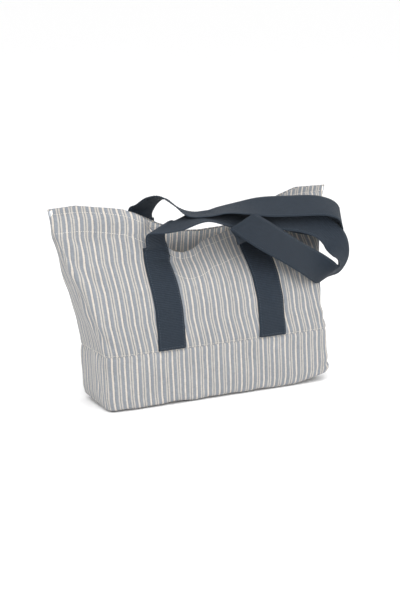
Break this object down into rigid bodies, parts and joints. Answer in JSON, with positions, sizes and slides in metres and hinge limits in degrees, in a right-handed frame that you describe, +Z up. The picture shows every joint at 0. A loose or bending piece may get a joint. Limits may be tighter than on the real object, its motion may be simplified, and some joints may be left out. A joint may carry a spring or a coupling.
{
  "type": "weekender bag",
  "caption": "Soft striped weekender bag with a boxed base, a sagging open mouth, webbing carry handles and a zip with a slider and puller.",
  "frame": {"origin": "middle of the base on the surface that the bag stands on", "axes": "+X along the bag's width, +Y towards its back panel, +Z up"},
  "size_m": [0.5213, 0.138, 0.332],
  "materials": {
    "striped_cloth": "yarn-dyed woven cotton, blue-grey and cream stripes, matt",
    "lining_cloth": "plain woven cotton lining, matt",
    "webbing": "ribbed cotton webbing, dark slate blue, matt",
    "zip_tape": "woven herringbone zip tape",
    "zip_coil": "moulded nylon coil, satin",
    "zip_metal": "die-cast metal, satin nickel"
  },
  "bodies": {
    "bag": {"front_panel": "striped_cloth", "back_panel": "striped_cloth", "base_band": "striped_cloth", "lining_front": "lining_cloth", "lining_back": "lining_cloth", "lining_base": "lining_cloth", "hem_facing_front": "striped_cloth", "hem_facing_back": "striped_cloth", "inner_pocket": "lining_cloth", "pocket_hem": "lining_cloth", "zip_tape_front": "zip_tape", "zip_tape_back": "zip_tape", "zip_coil_front": "zip_coil", "zip_coil_back": "zip_coil", "front_handle_leg_left": "webbing", "front_handle_leg_right": "webbing", "back_handle_leg_left": "webbing", "back_handle_leg_right": "webbing"},
    "front_handle": {"front_handle_loop": "webbing"},
    "back_handle": {"back_handle_loop": "webbing"},
    "slider": {"zip_slider": "zip_metal"},
    "puller": {"zip_puller": "zip_metal"}
  },
  "joints": [
    {"name": "back_handle_lift", "type": "hinge", "parent": "bag", "child": "back_handle", "pos_m": [0, 0.067, 0.283], "axis": [0.9954, 0, -0.0958], "range_deg": [-18, 0]},
    {"name": "front_handle_lift", "type": "hinge", "parent": "bag", "child": "front_handle", "pos_m": [0, 0.021, 0.265], "axis": [1, 0, 0], "range_deg": [-18, 0]},
    {"name": "zip_run", "type": "hinge", "parent": "bag", "child": "slider", "pos_m": [0.025, 0.042, 0.572], "axis": [0, 1, 0], "range_deg": [0, 56]},
    {"name": "puller_swing", "type": "hinge", "parent": "slider", "child": "puller", "pos_m": [0.18363, 0.042, 0.25891], "axis": [0, 1, 0], "range_deg": [-20, 100]}
  ],
  "couplings": [
    {"joint": "front_handle_lift", "follows": "back_handle_lift", "ratio": 1}
  ]
}
